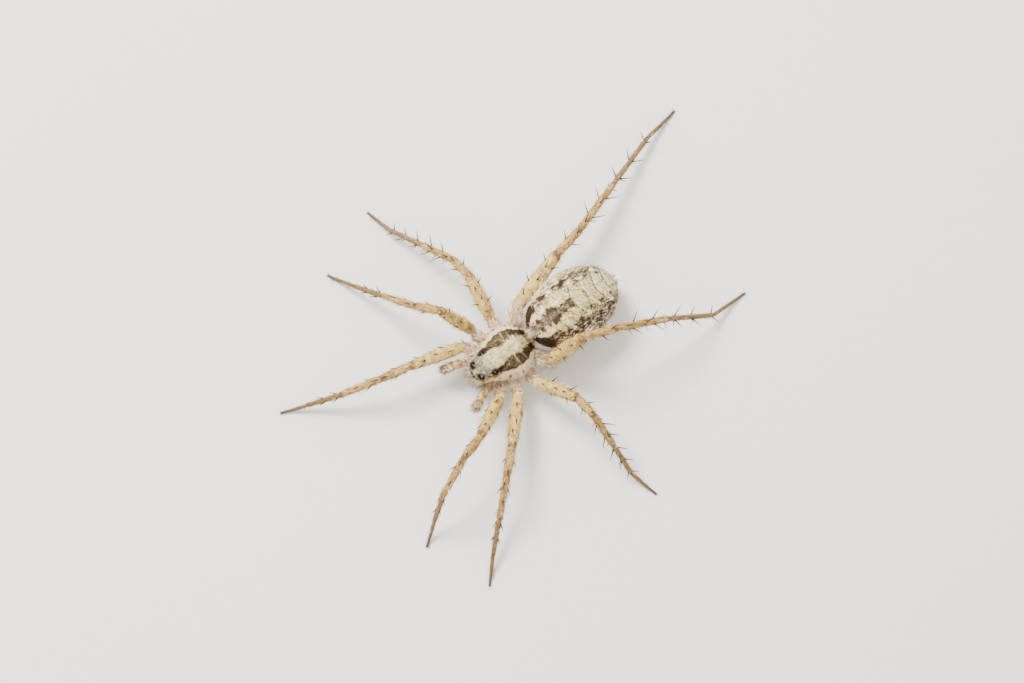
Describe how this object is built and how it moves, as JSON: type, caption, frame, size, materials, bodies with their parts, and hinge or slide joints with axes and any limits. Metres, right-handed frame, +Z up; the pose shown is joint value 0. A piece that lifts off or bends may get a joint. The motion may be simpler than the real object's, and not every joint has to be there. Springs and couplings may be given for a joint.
{
  "type": "wolf spider",
  "caption": "Life-size wolf spider standing with its legs spread, pale with dark bands on the carapace and spots along a cream abdomen.",
  "frame": {"origin": "centre of the spider's bounding box at floor level, under its body", "axes": "+Z up from the floor, the head points along -Y and the spider's left side is towards +X"},
  "size_m": [0.0182, 0.0226, 0.0042],
  "materials": {
    "carapace": "matt, hairy cuticle, pale with dark olive-brown bands",
    "underside": "matt pale brown cuticle",
    "leg": "matt pale straw cuticle with fine pale hairs",
    "foot": "matt grey-brown cuticle with fine hairs and dark spines",
    "abdomen": "soft cream skin under short hairs, marked with dark brown",
    "eye": "glossy black lens",
    "fang": "glossy dark reddish-brown horn"
  },
  "bodies": {
    "root": {"carapace": "carapace", "sternum": "underside", "pedicel": "underside", "abdomen": "abdomen", "spinnerets": "underside", "eye_front_inner_left": "eye", "eye_front_inner_right": "eye", "eye_front_outer_left": "eye", "eye_front_outer_right": "eye", "eye_middle_left": "eye", "eye_middle_right": "eye", "eye_rear_left": "eye", "eye_rear_right": "eye", "jaw_left": "carapace", "fang_left": "fang", "palp_left": "leg", "jaw_right": "carapace", "fang_right": "fang", "palp_right": "leg", "leg_left_1_coxa": "leg", "leg_left_1_femur": "leg", "leg_left_1_patella": "leg", "leg_left_1_tibia": "leg", "leg_left_1_foot": "foot", "leg_left_2_coxa": "leg", "leg_left_2_femur": "leg", "leg_left_2_patella": "leg", "leg_left_2_tibia": "leg", "leg_left_2_foot": "foot", "leg_left_3_coxa": "leg", "leg_left_3_femur": "leg", "leg_left_3_patella": "leg", "leg_left_3_tibia": "leg", "leg_left_3_foot": "foot", "leg_left_4_coxa": "leg", "leg_left_4_femur": "leg", "leg_left_4_patella": "leg", "leg_left_4_tibia": "leg", "leg_left_4_foot": "foot", "leg_right_1_coxa": "leg", "leg_right_1_femur": "leg", "leg_right_1_patella": "leg", "leg_right_1_tibia": "leg", "leg_right_1_foot": "foot", "leg_right_2_coxa": "leg", "leg_right_2_femur": "leg", "leg_right_2_patella": "leg", "leg_right_2_tibia": "leg", "leg_right_2_foot": "foot", "leg_right_3_coxa": "leg", "leg_right_3_femur": "leg", "leg_right_3_patella": "leg", "leg_right_3_tibia": "leg", "leg_right_3_foot": "foot", "leg_right_4_coxa": "leg", "leg_right_4_femur": "leg", "leg_right_4_patella": "leg", "leg_right_4_tibia": "leg", "leg_right_4_foot": "foot"}
  },
  "joints": []
}
